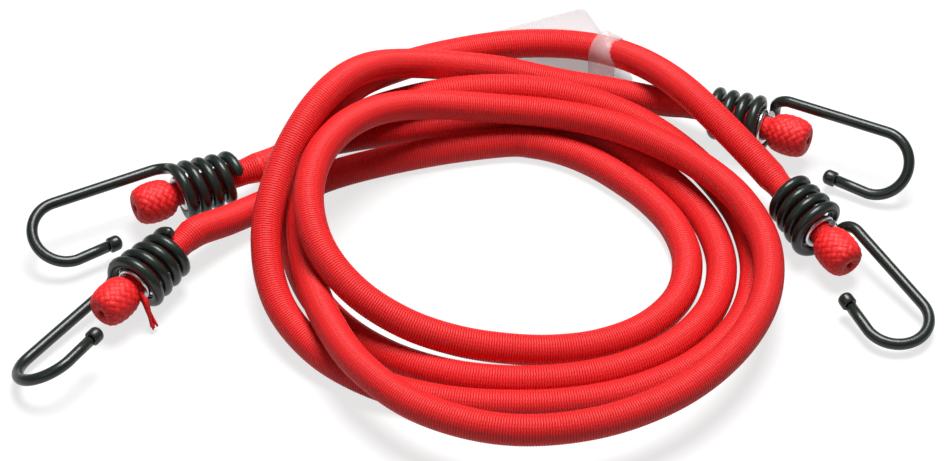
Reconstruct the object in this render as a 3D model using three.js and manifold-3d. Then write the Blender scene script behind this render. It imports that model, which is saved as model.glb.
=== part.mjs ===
// A pair of elastic tie-down cords, coiled together and laid flat, with a wire hook on each end.
// Millimetres, +Z up, resting on z = 0.
import * as THREE from 'three';
import { mergeVertices } from 'three/addons/utils/BufferGeometryUtils.js';
import Module from 'manifold-3d';

const wasm = await Module();
wasm.setup();

// Cord: a woven sheath over an elastic core.
const CORD_DIAMETER = 10;
const SHEATH_WALL = 1;
const CORE_CLEARANCE = 0.35;
const CORD_SIDES = 8;
const FLOOR_CUT = 1;

// Cord ends, measured outward along the cord from the wide end of the hook's coil.
const NECK_DIAMETER = 7.8;
const WAIST_DIAMETER = 8.8;
const BULB_DIAMETER = 13.8;
const BULB_LENGTH = 14;
const SHEATH_MOUTH_DIAMETER = 3.4;
const MOUTH_DIMPLE = 1.3;
const END_TAPER = 4;

// Hook: one coated wire, a conical coil, a straight shank and a round bend.
const WIRE_DIAMETER = 3.8;
const WIRE_SIDES = 8;
const COIL_TURNS = 4.25;
const COIL_PITCH = 4.8;
const COIL_CLEARANCE = 0.5;
const COIL_FLARE = 2;
const COIL_STEPS = 9;
const SHANK_OFFSET = 10.8;
const SHANK_END = 40.5;
const SHANK_KNEE = 5.5;
const KNEE_REACH = 3;
const KNEE_LEAD = 28;
const BEND_RADIUS = 10.8;
const BEND_STEPS = 15;
const ARM_LENGTH = 11;
const ARM_CLOSING = 1;

// Cap on the hook's tip, over the bare end of the wire.
const BARE_WIRE_DIAMETER = 2.7;
const CAP_DIAMETER = 5.2;
const CAP_CLEARANCE = 0.3;
const CAP_BORE_DEPTH = 3.2;
const CAP_DOME = 1.8;

// Crimp: a steel wire ring closed on the cord's neck.
const CRIMP_WIRE_DIAMETER = 1.9;
const CRIMP_CLEARANCE = 0.3;
const CRIMP_TURNS = 1.15;
const CRIMP_PITCH = 2.4;
const CRIMP_STEPS = 12;
const CRIMP_SIDES = 6;
const CRIMP_INSET = 2.2;

// Film tag under the back strand, with a strap over the cord.
const TAG_LENGTH = 44;
const TAG_WIDTH = 40;
const TAG_FILM = 0.5;
const TAG_LIFT = 0.1;
const TAG_CORNER = 3;
const TAG_SIDE_EDGE = 0.8;
const TAG_FRONT_EDGE = 2.1;
const TAG_ANGLE = 22.5;
const STRAP_WIDTH = 6;
const STRAP_CLEARANCE = 1.3;

// The coil's middle in the part's own frame, whose origin is under the middle of the whole part.
const COIL_MIDDLE = [8.66, -4.4];
const LOOP_STEPS = 24;

// Each cord's lay, from its left hook to its right hook, measured from the coil's middle.
// reaches: distance from the middle at every sixth of a turn, clockwise from the back.
// climbs: where, in turns, the cord climbs over the others, how high and over what stretch.
const CORDS = [
  {
    name: 'cord_one',
    leftEnd: { place: [-119.6, -34.7, 11], heading: 232, pitch: -3, roll: -29 },
    rightEnd: { place: [104.6, -10.2, 11], heading: -57, pitch: -8, roll: 3 },
    tailIn: [[-90.3, -0.4, 8.2], [-78.4, 11.6, 4.5], [-56.5, 26.5, 4], [-27, 37, 4]],
    reaches: [42.5, 47, 66, 60.5, 67.5, 53, 46.5, 60, 96, 105.5, 72, 65.5, 88],
    climbs: [
      { turn: 0.76, height: 26.5, spread: 0.18 },
      { turn: 1.43, height: 14, spread: 0.54 },
      { turn: 1.84, height: 16, spread: 0.09 },
    ],
    tailOut: [[20, 91, 7.5], [36.5, 84.5, 10], [50, 69, 16.4], [62.5, 49, 21.2], [77.5, 28.5, 18.8]],
  },
  {
    name: 'cord_two',
    leftEnd: { place: [-107.8, 9.1, 11], heading: 207, pitch: 0, roll: 25 },
    rightEnd: { place: [89.5, 42.3, 11], heading: -26, pitch: 0, roll: 44 },
    tailIn: [[-77, 29, 7.5], [-62.5, 41.5, 4.5], [-32.5, 49.5, 4]],
    reaches: [53.5, 58.5, 77.5, 71, 70, 67, 57.5, 69.5, 88.5, 82, 84, 63.5, 73],
    climbs: [
      { turn: 0.81, height: 7.5, spread: 0.07 },
      { turn: 0.99, height: 11.5, spread: 0.18 },
      { turn: 1.83, height: 35.5, spread: 0.13 },
    ],
    tailOut: [[19, 72, 6], [37.5, 67, 6], [55, 59.5, 8]],
  },
];
const REACHES_PER_TURN = 6;

// Values that follow from the sizes above.
const FLOOR_LAY = CORD_DIAMETER / 2 - FLOOR_CUT;
const CRIMP_START = -CRIMP_INSET;
const CRIMP_END = CRIMP_START + CRIMP_TURNS * CRIMP_PITCH;
const CRIMP_RADIUS = NECK_DIAMETER / 2 + CRIMP_CLEARANCE + CRIMP_WIRE_DIAMETER / 2;
const BULB_START = CRIMP_END + CRIMP_WIRE_DIAMETER / 2 + CRIMP_CLEARANCE;
const BULB_END = BULB_START + BULB_LENGTH;
const COIL_LENGTH = COIL_TURNS * COIL_PITCH;
const COIL_SMALL_RADIUS = (WAIST_DIAMETER + WIRE_DIAMETER) / 2 + COIL_CLEARANCE;
const WAIST_END = -COIL_LENGTH - WIRE_DIAMETER;
const STRAIGHT_END = WAIST_END - END_TAPER;
const STRAP_INSIDE = CORD_DIAMETER / 2 + STRAP_CLEARANCE;
const STRAP_OUTSIDE = STRAP_INSIDE + TAG_FILM;

const material = (color, roughness, metalness) =>
  new THREE.MeshStandardMaterial({ color, roughness, metalness });
const SHEATH_RED = material(0xe8282c, 0.75, 0);
const CORE_RUBBER = material(0xd8cdb4, 0.85, 0);
const HOOK_BLACK = material(0x14191a, 0.28, 0);
const CRIMP_STEEL = material(0xb9bdc2, 0.3, 1);
const TAG_FILM_WHITE = material(0xf0eded, 0.35, 0);

const radians = (degrees) => THREE.MathUtils.degToRad(degrees);
const vector = (values) => new THREE.Vector3(...values);

// One coordinate of a smooth curve through evenly weighted values.
function blend(before, from, to, after, t) {
  const pull = (to - before) / 2;
  const push = (after - from) / 2;
  const rise = to - from;
  return from + t * (pull + t * (3 * rise - 2 * pull - push + t * (pull + push - 2 * rise)));
}

// The list's value at a place between two entries; past its ends the list runs on straight.
function along(list, place) {
  const last = list.length - 1;
  const index = Math.min(Math.floor(place), last - 1);
  const from = list[index];
  const to = list[index + 1];
  const before = index > 0 ? list[index - 1] : 2 * from - to;
  const after = index + 2 <= last ? list[index + 2] : 2 * to - from;
  return blend(before, from, to, after, place - index);
}

// The point of a route at a place counted in its points.
function routePoint(points, place) {
  const axes = ['x', 'y', 'z'];
  return vector(axes.map((axis) => along(points.map((point) => point[axis]), place)));
}

// Unit direction of a cord end, pointing out of the cord.
function endDirection(end) {
  const level = Math.cos(radians(end.pitch));
  return new THREE.Vector3(
    level * Math.cos(radians(end.heading)),
    level * Math.sin(radians(end.heading)),
    Math.sin(radians(end.pitch)),
  );
}

// A point on the straight line of a cord end.
function onEnd(end, distance) {
  return vector(end.place).addScaledVector(endDirection(end), distance);
}

// The coiled turns of one cord.
function turnPoints(cord) {
  const points = [];
  const turns = (cord.reaches.length - 1) / REACHES_PER_TURN;
  for (let step = 0; step <= turns * LOOP_STEPS; step += 1) {
    const turn = step / LOOP_STEPS;
    const angle = Math.PI / 2 - 2 * Math.PI * turn;
    const reach = along(cord.reaches, turn * REACHES_PER_TURN);
    let height = FLOOR_LAY;
    for (const climb of cord.climbs) {
      height += climb.height * Math.exp(-(((turn - climb.turn) / climb.spread) ** 2));
    }
    points.push(new THREE.Vector3(reach * Math.cos(angle), reach * Math.sin(angle), height));
  }
  return points;
}

// The cord's centreline between the straight stretches at its two ends.
function middleRoute(cord) {
  const knots = [
    onEnd(cord.leftEnd, WAIST_END),
    onEnd(cord.leftEnd, STRAIGHT_END),
    ...cord.tailIn.map(vector),
    ...turnPoints(cord),
    ...cord.tailOut.map(vector),
    onEnd(cord.rightEnd, STRAIGHT_END),
    onEnd(cord.rightEnd, WAIST_END),
  ];
  const turnStart = 2 + cord.tailIn.length;
  const turnEnd = knots.length - 3 - cord.tailOut.length;
  const points = [];
  for (let index = 1; index < knots.length - 2; index += 1) {
    points.push(knots[index]);
    if (index < turnStart || index >= turnEnd) {
      points.push(routePoint(knots, index + 0.5));
    }
  }
  points.push(knots[knots.length - 2]);
  return points;
}

// Radius of one skin of the cord along its end, as [distance, radius] from the tip inward.
// inset is how far the skin lies under the sheath's outside.
function endProfile(inset, tip) {
  const bulb = BULB_DIAMETER / 2 - inset;
  const neck = NECK_DIAMETER / 2 - inset;
  const waist = WAIST_DIAMETER / 2 - inset;
  const middle = (BULB_START + BULB_END) / 2;
  const half = BULB_LENGTH / 2 - inset;
  const profile = [...tip];
  for (const angle of [55, 30, 0, -30, -55]) {
    profile.push([middle + half * Math.sin(radians(angle)), bulb * Math.cos(radians(angle)) ** 0.35]);
  }
  profile.push([BULB_START + inset / 2, neck + 0.3]);
  profile.push([BULB_START - inset / 2, neck]);
  profile.push([CRIMP_START - CRIMP_WIRE_DIAMETER / 2, neck]);
  profile.push([CRIMP_START - CRIMP_WIRE_DIAMETER, waist]);
  profile.push([WAIST_END, waist]);
  profile.push([STRAIGHT_END, CORD_DIAMETER / 2 - inset]);
  return profile;
}

// One ring of a round tube; the sides start so that a flat one faces down.
function ring(centre, direction, radius, sides, up = new THREE.Vector3(0, 0, 1)) {
  const rise = up.clone().addScaledVector(direction, -up.dot(direction)).normalize();
  const side = new THREE.Vector3().crossVectors(rise, direction);
  const points = [];
  for (let corner = 0; corner < sides; corner += 1) {
    const angle = (2 * Math.PI * (corner + 0.5)) / sides - Math.PI / 2;
    const point = centre.clone();
    point.addScaledVector(side, radius * Math.cos(angle));
    point.addScaledVector(rise, radius * Math.sin(angle));
    points.push(point);
  }
  return points;
}

// A closed solid over a row of rings, with flat ends or joined end to end.
function skin(rings, joined) {
  const sides = rings[0].length;
  const positions = rings.flat().flatMap((point) => point.toArray());
  const faces = [];
  const count = joined ? rings.length : rings.length - 1;
  for (let index = 0; index < count; index += 1) {
    const here = index * sides;
    const next = ((index + 1) % rings.length) * sides;
    for (let corner = 0; corner < sides; corner += 1) {
      const turn = (corner + 1) % sides;
      faces.push(here + corner, here + turn, next + corner);
      faces.push(here + turn, next + turn, next + corner);
    }
  }
  if (!joined) {
    const last = (rings.length - 1) * sides;
    for (let corner = 1; corner < sides - 1; corner += 1) {
      faces.push(0, corner + 1, corner);
      faces.push(last, last + corner, last + corner + 1);
    }
  }
  const geometry = new THREE.BufferGeometry();
  geometry.setAttribute('position', new THREE.Float32BufferAttribute(positions, 3));
  geometry.setIndex(faces);
  geometry.computeVertexNormals();
  return geometry;
}

// The rings of one skin of a cord, from its left tip to its right tip.
function cordRings(cord, route, profile, inset) {
  const rings = [];
  const left = endDirection(cord.leftEnd).negate();
  const right = endDirection(cord.rightEnd);
  for (const [distance, radius] of profile) {
    rings.push(ring(onEnd(cord.leftEnd, distance), left, radius, CORD_SIDES));
  }
  for (let index = 1; index < route.length - 1; index += 1) {
    const direction = route[index + 1].clone().sub(route[index - 1]).normalize();
    rings.push(ring(route[index], direction, CORD_DIAMETER / 2 - inset, CORD_SIDES));
  }
  for (const [distance, radius] of [...profile].reverse()) {
    rings.push(ring(onEnd(cord.rightEnd, distance), right, radius, CORD_SIDES));
  }
  return rings;
}

// The woven sheath: a tube open at both mouths, pressed flat where it lies on the floor.
function sheathGeometry(cord, route) {
  const mouth = SHEATH_MOUTH_DIAMETER / 2;
  const outerTip = [
    [BULB_END - MOUTH_DIMPLE, mouth],
    [BULB_END, BULB_DIAMETER / 4],
  ];
  const innerTip = [
    [BULB_END - MOUTH_DIMPLE - SHEATH_WALL, mouth],
    [BULB_END - SHEATH_WALL, BULB_DIAMETER / 4 - SHEATH_WALL / 4],
  ];
  const outer = cordRings(cord, route, endProfile(0, outerTip), 0);
  const inner = cordRings(cord, route, endProfile(SHEATH_WALL, innerTip), SHEATH_WALL);
  for (const point of outer.flat()) {
    point.z = Math.max(point.z, 0);
  }
  return skin([...outer, ...inner.reverse()], true);
}

// The elastic core inside the sheath.
function coreGeometry(cord, route) {
  const inset = SHEATH_WALL + CORE_CLEARANCE;
  const tip = [[BULB_END - MOUTH_DIMPLE - inset, SHEATH_MOUTH_DIAMETER / 2]];
  return skin(cordRings(cord, route, endProfile(inset, tip), inset), false);
}

// A wire along a row of points, its section carried on without twist.
function wireGeometry(points, radii, sides) {
  const rings = [];
  let up = new THREE.Vector3(0, 0, 1);
  for (let index = 0; index < points.length; index += 1) {
    const ahead = points[Math.min(index + 1, points.length - 1)];
    const behind = points[Math.max(index - 1, 0)];
    const direction = ahead.clone().sub(behind).normalize();
    if (index === 0 && Math.abs(direction.z) > 0.9) {
      up.set(1, 0, 0);
    }
    up = up.addScaledVector(direction, -up.dot(direction)).normalize();
    rings.push(ring(points[index], direction, radii[index], sides, up));
  }
  return skin(rings, false);
}

// The hook's wire in its own frame: x out along the cord, y toward the shank.
function hookPoints() {
  const points = [];
  const lead = radians(KNEE_LEAD);
  const count = Math.round(COIL_TURNS * COIL_STEPS);
  for (let step = 0; step <= count; step += 1) {
    const share = step / count;
    const angle = 2 * Math.PI * COIL_TURNS * (share - 1) - lead;
    const radius = COIL_SMALL_RADIUS + COIL_FLARE * share;
    const place = COIL_LENGTH * (share - 1);
    points.push(new THREE.Vector3(place, radius * Math.cos(angle), radius * Math.sin(angle)));
  }
  const leave = points[points.length - 1];
  const knee = new THREE.CubicBezierCurve3(
    leave,
    leave.clone().add(new THREE.Vector3(0, Math.sin(lead), Math.cos(lead)).multiplyScalar(KNEE_REACH)),
    new THREE.Vector3(SHANK_KNEE - KNEE_REACH, SHANK_OFFSET, 0),
    new THREE.Vector3(SHANK_KNEE, SHANK_OFFSET, 0),
  );
  points.push(...knee.getPoints(5).slice(1));
  const bend = new THREE.EllipseCurve(
    SHANK_END, SHANK_OFFSET - BEND_RADIUS, BEND_RADIUS, BEND_RADIUS, Math.PI / 2, -Math.PI / 2, true,
  );
  points.push(...bend.getPoints(BEND_STEPS).map((point) => new THREE.Vector3(point.x, point.y, 0)));
  return points;
}

// The end of the hook's arm and the direction that it points in.
function armLine() {
  const start = new THREE.Vector3(SHANK_END, SHANK_OFFSET - 2 * BEND_RADIUS, 0);
  const direction = new THREE.Vector3(-ARM_LENGTH, ARM_CLOSING, 0).normalize();
  return { end: start.addScaledVector(direction, ARM_LENGTH), direction };
}

// The hook's wire from its tip, so that flat sides of it face into the bend.
function hookGeometry() {
  const points = hookPoints();
  const radii = points.map(() => WIRE_DIAMETER / 2);
  const arm = armLine();
  points.push(arm.end.clone(), arm.end.clone().addScaledVector(arm.direction, CAP_CLEARANCE));
  points.push(arm.end.clone().addScaledVector(arm.direction, CAP_BORE_DEPTH));
  radii.push(WIRE_DIAMETER / 2, BARE_WIRE_DIAMETER / 2, BARE_WIRE_DIAMETER / 2);
  return wireGeometry(points.reverse(), radii.reverse(), WIRE_SIDES);
}

// The tip's cap: a domed cup over the bare wire, turned about its own axis.
function capMesh(name) {
  const bore = BARE_WIRE_DIAMETER / 2 + CAP_CLEARANCE;
  const outside = CAP_DIAMETER / 2;
  const mouth = 2 * CAP_CLEARANCE;
  const bottom = CAP_BORE_DEPTH + CAP_CLEARANCE;
  const profile = [new THREE.Vector2(0, bottom), new THREE.Vector2(bore, bottom)];
  profile.push(new THREE.Vector2(bore, mouth), new THREE.Vector2(outside, mouth));
  for (const angle of [0, 30, 60]) {
    const height = bottom + CAP_DOME * Math.sin(radians(angle));
    profile.push(new THREE.Vector2(outside * Math.cos(radians(angle)), height));
  }
  profile.push(new THREE.Vector2(0, bottom + CAP_DOME));
  const geometry = new THREE.LatheGeometry(profile, 10);
  const mesh = new THREE.Mesh(welded(geometry), HOOK_BLACK);
  const arm = armLine();
  mesh.name = name;
  mesh.position.copy(arm.end);
  mesh.quaternion.setFromUnitVectors(new THREE.Vector3(0, 1, 0), arm.direction);
  return mesh;
}

// The crimp's wire in the cord end's own frame.
function crimpPoints() {
  const points = [];
  const count = Math.round(CRIMP_TURNS * CRIMP_STEPS);
  for (let step = 0; step <= count; step += 1) {
    const turn = (CRIMP_TURNS * step) / count;
    const angle = 2 * Math.PI * turn;
    points.push(new THREE.Vector3(
      CRIMP_START + CRIMP_PITCH * turn,
      CRIMP_RADIUS * Math.cos(angle),
      CRIMP_RADIUS * Math.sin(angle),
    ));
  }
  return points;
}

function crimpGeometry() {
  const points = crimpPoints();
  return wireGeometry(points, points.map(() => CRIMP_WIRE_DIAMETER / 2), CRIMP_SIDES);
}

// A geometry with its shared corners merged and its seams and folded faces gone.
function welded(geometry) {
  const plain = geometry.clone();
  plain.deleteAttribute('normal');
  plain.deleteAttribute('uv');
  const merged = mergeVertices(plain, 1e-4);
  const index = merged.index.array;
  const faces = [];
  for (let face = 0; face < index.length; face += 3) {
    const [a, b, c] = [index[face], index[face + 1], index[face + 2]];
    if (a !== b && b !== c && c !== a) {
      faces.push(a, b, c);
    }
  }
  merged.setIndex(faces);
  merged.computeVertexNormals();
  return merged;
}

// A welded geometry as a solid for joining.
function solid(geometry) {
  const merged = welded(geometry);
  return new wasm.Manifold(new wasm.Mesh({
    numProp: 3,
    vertProperties: Float32Array.from(merged.attributes.position.array),
    triVerts: Uint32Array.from(merged.index.array),
  }));
}

// A joined solid as a geometry again.
function fromSolid(body) {
  const mesh = body.getMesh();
  const geometry = new THREE.BufferGeometry();
  geometry.setAttribute('position', new THREE.Float32BufferAttribute(mesh.vertProperties, 3));
  geometry.setIndex(Array.from(mesh.triVerts));
  geometry.computeVertexNormals();
  return geometry;
}

// The tag's flat panel, a sheet with rounded corners; the strap stands near its front right corner.
function tagPanel(place) {
  const x = TAG_WIDTH / 2;
  const y = TAG_LENGTH / 2;
  const corner = TAG_CORNER;
  const outline = new THREE.Shape();
  outline.absarc(x - corner, y - corner, corner, 0, Math.PI / 2);
  outline.absarc(-x + corner, y - corner, corner, Math.PI / 2, Math.PI);
  outline.absarc(-x + corner, -y + corner, corner, Math.PI, 1.5 * Math.PI);
  outline.absarc(x - corner, -y + corner, corner, 1.5 * Math.PI, 2 * Math.PI);
  const film = { depth: TAG_FILM, bevelEnabled: false, curveSegments: 3 };
  const panel = new THREE.ExtrudeGeometry(outline, film);
  panel.translate(STRAP_OUTSIDE + TAG_SIDE_EDGE - x, y - STRAP_OUTSIDE - TAG_FRONT_EDGE, TAG_LIFT);
  panel.rotateZ(radians(TAG_ANGLE));
  panel.translate(place.x, place.y, 0);
  return panel;
}

// The tag's strap, standing on the panel and passing over the cord at the given place.
function tagStrap(place, heading) {
  const foot = TAG_LIFT + TAG_FILM / 2;
  const outline = new THREE.Shape();
  outline.moveTo(STRAP_OUTSIDE, foot);
  outline.absarc(0, place.z, STRAP_OUTSIDE, 0, Math.PI);
  outline.lineTo(-STRAP_OUTSIDE, foot);
  outline.lineTo(-STRAP_INSIDE, foot);
  outline.absarc(0, place.z, STRAP_INSIDE, Math.PI, 0, true);
  outline.lineTo(STRAP_INSIDE, foot);
  const band = { depth: STRAP_WIDTH, bevelEnabled: false, curveSegments: 10 };
  const strap = new THREE.ExtrudeGeometry(outline, band);
  strap.translate(0, 0, -STRAP_WIDTH / 2);
  strap.rotateX(Math.PI / 2);
  strap.rotateZ(heading + Math.PI / 2);
  strap.translate(place.x, place.y, 0);
  return strap;
}

function tagGeometry(cord) {
  const [before, place, after] = cord.tailOut.map(vector);
  const heading = Math.atan2(after.y - before.y, after.x - before.x);
  return fromSolid(solid(tagPanel(place)).add(solid(tagStrap(place, heading))));
}

// Least gap between two rows of points on tubes of one diameter, and its place.
// Near points of one row are skipped.
function leastGap(rowA, rowB, diameter, near) {
  let least = Infinity;
  let place = rowA[0];
  let runA = 0;
  for (let a = 0; a < rowA.length; a += 1) {
    runA += a > 0 ? rowA[a].distanceTo(rowA[a - 1]) : 0;
    let runB = 0;
    for (let b = 0; b < rowB.length; b += 1) {
      runB += b > 0 ? rowB[b].distanceTo(rowB[b - 1]) : 0;
      const gap = rowA[a].distanceTo(rowB[b]) - diameter;
      if (gap < least && (rowA !== rowB || Math.abs(runA - runB) > near)) {
        least = gap;
        place = rowA[a];
      }
    }
  }
  return `${least.toFixed(2)} mm at ${place.toArray().map(Math.round)}`;
}

// Points set in between, so that the measured gaps don't fall between two steps.
function denser(points) {
  const fine = [];
  for (let place = 0; place <= (points.length - 1) * 5; place += 1) {
    fine.push(routePoint(points, place / 5));
  }
  return fine;
}

// A cord end's frame: x out along the cord, y toward the back, turned by the hook's roll if asked.
function endGroup(end, roll) {
  const group = new THREE.Group();
  const out = endDirection(end);
  const back = new THREE.Vector3(-out.y, out.x, 0).normalize();
  if (back.y < 0) {
    back.negate();
  }
  const rise = new THREE.Vector3().crossVectors(out, back);
  group.quaternion.setFromRotationMatrix(new THREE.Matrix4().makeBasis(out, back, rise));
  const upward = rise.z > 0 ? 1 : -1;
  group.rotateX(radians(roll) * upward);
  group.position.copy(vector(end.place));
  return group;
}

function named(name, geometry, look) {
  const mesh = new THREE.Mesh(geometry, look);
  mesh.name = name;
  return mesh;
}

const part = new THREE.Group();
part.position.set(COIL_MIDDLE[0], COIL_MIDDLE[1], 0);
const routes = CORDS.map(middleRoute);

CORDS.forEach((cord, index) => {
  part.add(named(`${cord.name}_sheath`, sheathGeometry(cord, routes[index]), SHEATH_RED));
  part.add(named(`${cord.name}_core`, coreGeometry(cord, routes[index]), CORE_RUBBER));
  for (const side of ['left', 'right']) {
    const end = cord[`${side}End`];
    const hook = endGroup(end, end.roll);
    hook.add(named(`${cord.name}_${side}_hook`, hookGeometry(), HOOK_BLACK));
    hook.add(capMesh(`${cord.name}_${side}_hook_cap`));
    const ring = endGroup(end, 0);
    ring.add(named(`${cord.name}_${side}_crimp`, crimpGeometry(), CRIMP_STEEL));
    part.add(hook, ring);
  }
});
part.add(named('hang_tag', tagGeometry(CORDS[0]), TAG_FILM_WHITE));

const [fineOne, fineTwo] = routes.map(denser);
const fineHook = denser(hookPoints());
const fineCrimp = denser(crimpPoints());
const gaps = {
  'cord one to itself': leastGap(fineOne, fineOne, CORD_DIAMETER, 3 * CORD_DIAMETER),
  'cord two to itself': leastGap(fineTwo, fineTwo, CORD_DIAMETER, 3 * CORD_DIAMETER),
  'cord one to cord two': leastGap(fineOne, fineTwo, CORD_DIAMETER, 0),
  'hook wire to itself': leastGap(fineHook, fineHook, WIRE_DIAMETER, 4 * WIRE_DIAMETER),
  'crimp wire to itself': leastGap(fineCrimp, fineCrimp, CRIMP_WIRE_DIAMETER, 4 * CRIMP_WIRE_DIAMETER),
};
for (const [label, gap] of Object.entries(gaps)) {
  console.log(`least gap, ${label}: ${gap}`);
}

export default part;
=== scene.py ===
"""Fine shapes and finishes for a coiled pair of elastic tie-down cords with swivelling wire hooks."""
import bisect
import logging
import math
from dataclasses import dataclass
from enum import Enum
from typing import Any, Sequence

import bmesh
import bpy
from mathutils import Matrix, Vector


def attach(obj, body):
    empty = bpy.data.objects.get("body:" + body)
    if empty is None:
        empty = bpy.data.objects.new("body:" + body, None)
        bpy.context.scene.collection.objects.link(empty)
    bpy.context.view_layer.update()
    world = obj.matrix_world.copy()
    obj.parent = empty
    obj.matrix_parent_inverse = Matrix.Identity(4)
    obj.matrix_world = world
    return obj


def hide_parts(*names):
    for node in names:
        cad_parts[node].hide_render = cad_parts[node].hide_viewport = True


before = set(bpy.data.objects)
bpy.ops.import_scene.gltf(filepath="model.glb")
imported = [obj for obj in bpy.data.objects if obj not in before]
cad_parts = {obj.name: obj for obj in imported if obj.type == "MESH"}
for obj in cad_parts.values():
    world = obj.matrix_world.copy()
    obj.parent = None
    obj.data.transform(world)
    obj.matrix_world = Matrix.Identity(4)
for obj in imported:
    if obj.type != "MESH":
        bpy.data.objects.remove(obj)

LOG = logging.getLogger("tie_down_cords")
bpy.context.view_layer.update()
MM = 0.001
UP = Vector((0.0, 0.0, 1.0))
PLACE_DIGITS = 7
ROOT_BODY = "cords"
RIB_PITCH = 0.85
BRAID_PITCH = 2.6
BRAID_STRANDS = 14
Colour = tuple[float, float, float, float]


class Side(Enum):
    """Which end of a cord a piece belongs to."""

    LEFT = "left"
    RIGHT = "right"


class Slot(Enum):
    """The record's material slots."""

    SHEATH = "sheath"
    CORE = "core"
    WIRE = "hook_wire"
    CAP = "hook_cap"
    CRIMP = "crimp"
    FILM = "tag_film"


class Signal:
    """A shader socket that takes Python arithmetic; each expression adds a Math node."""

    def __init__(self, sheet: "NodeSheet", socket: bpy.types.NodeSocket) -> None:
        """Keeps the socket and the sheet that it lies on."""
        self.sheet = sheet
        self.socket = socket

    def _math(self, operation: str, *values: Any) -> "Signal":
        """Adds one Math node.

        Args:
            operation: The Math node's operation.
            values: Numbers or signals for its sockets, in order.

        Returns:
            The node's output.
        """
        node = self.sheet.node("ShaderNodeMath", {"operation": operation}, dict(enumerate(values)))
        return Signal(self.sheet, node.outputs[0])

    def __add__(self, other: Any) -> "Signal":
        """self + other."""
        return self._math("ADD", self, other)

    def __radd__(self, other: Any) -> "Signal":
        """other + self."""
        return self._math("ADD", other, self)

    def __sub__(self, other: Any) -> "Signal":
        """self - other."""
        return self._math("SUBTRACT", self, other)

    def __rsub__(self, other: Any) -> "Signal":
        """other - self."""
        return self._math("SUBTRACT", other, self)

    def __mul__(self, other: Any) -> "Signal":
        """self * other."""
        return self._math("MULTIPLY", self, other)

    def __truediv__(self, other: Any) -> "Signal":
        """self / other."""
        return self._math("DIVIDE", self, other)

    def __pow__(self, other: Any) -> "Signal":
        """self ** other."""
        return self._math("POWER", self, other)

    def fraction(self) -> "Signal":
        """The part after the decimal point."""
        return self._math("FRACT", self)

    def whole(self) -> "Signal":
        """The part before the decimal point."""
        return self._math("FLOOR", self)

    def hump(self) -> "Signal":
        """A round hump over one period: 0 at whole numbers, 1 halfway between."""
        return self._math("SINE", self.fraction() * math.pi)

    def larger(self, other: Any) -> "Signal":
        """The larger of the two."""
        return self._math("MAXIMUM", self, other)


class NodeSheet:
    """A material's node tree, filled through one method."""

    def __init__(self, name: str) -> None:
        """Starts an empty material.

        Args:
            name: The material's name.
        """
        self.material = bpy.data.materials.new(name)
        self.material.use_nodes = True
        self.tree = self.material.node_tree
        self.tree.nodes.clear()

    def node(self, kind: str, settings: dict[str, Any], inputs: dict[Any, Any]) -> bpy.types.Node:
        """Adds a node, its settings first and then its sockets.

        Args:
            kind: The node's type.
            settings: Values for the node's own properties.
            inputs: Socket name or index to a number, colour, signal or socket.

        Returns:
            The new node.
        """
        node = self.tree.nodes.new(kind)
        for key, value in settings.items():
            setattr(node, key, value)
        for key, value in inputs.items():
            self._feed(node.inputs[key], value)
        return node

    def _feed(self, socket: bpy.types.NodeSocket, value: Any) -> None:
        """Links or sets one socket.

        Args:
            socket: The input to fill.
            value: A signal, a socket or a plain value.
        """
        if isinstance(value, Signal):
            self.tree.links.new(value.socket, socket)
        elif isinstance(value, bpy.types.NodeSocket):
            self.tree.links.new(value, socket)
        else:
            socket.default_value = value

    def signal(
        self, kind: str, settings: dict[str, Any], inputs: dict[Any, Any], output: Any = 0
    ) -> Signal:
        """Adds a node and wraps one of its outputs.

        Args:
            kind: The node's type.
            settings: Values for the node's own properties.
            inputs: Values or links for its sockets.
            output: The output's name or index.

        Returns:
            The output as a signal.
        """
        return Signal(self, self.node(kind, settings, inputs).outputs[output])

    def mix(self, factor: Any, low: Any, high: Any) -> bpy.types.NodeSocket:
        """Mixes two colours.

        Args:
            factor: 0 gives low and 1 gives high.
            low: A colour or its socket.
            high: A colour or its socket.

        Returns:
            The colour's socket.
        """
        node = self.node("ShaderNodeMix", {"data_type": "RGBA"}, {0: factor, 6: low, 7: high})
        return node.outputs[2]

    def noise(self, scale: float, detail: float) -> Signal:
        """Soft noise on the piece's own coordinates.

        Args:
            scale: Waves to a metre.
            detail: Octaves.

        Returns:
            A value about 0.5.
        """
        place = self.node("ShaderNodeTexCoord", {}, {}).outputs["Object"]
        return self.signal("ShaderNodeTexNoise", {}, {"Vector": place, "Scale": scale, "Detail": detail})

    def bump(self, height: Signal, depth: float, strength: float) -> bpy.types.NodeSocket:
        """Bends the normal by a height.

        Args:
            height: The height, 0 to 1.
            depth: The full height in metres.
            strength: How much of it shows.

        Returns:
            The normal's socket.
        """
        return self.node(
            "ShaderNodeBump", {}, {"Strength": strength, "Distance": depth, "Height": height}
        ).outputs["Normal"]

    def surface(self, inputs: dict[str, Any]) -> bpy.types.Material:
        """Ends the sheet in a Principled surface.

        Args:
            inputs: Values or links for its sockets.

        Returns:
            The finished material.
        """
        shader = self.node("ShaderNodeBsdfPrincipled", {}, inputs)
        self.node("ShaderNodeOutputMaterial", {}, {"Surface": shader.outputs[0]})
        return self.material


def shade(red: float, green: float, blue: float) -> Colour:
    """A linear colour with full alpha."""
    return (red, green, blue, 1.0)


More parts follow.
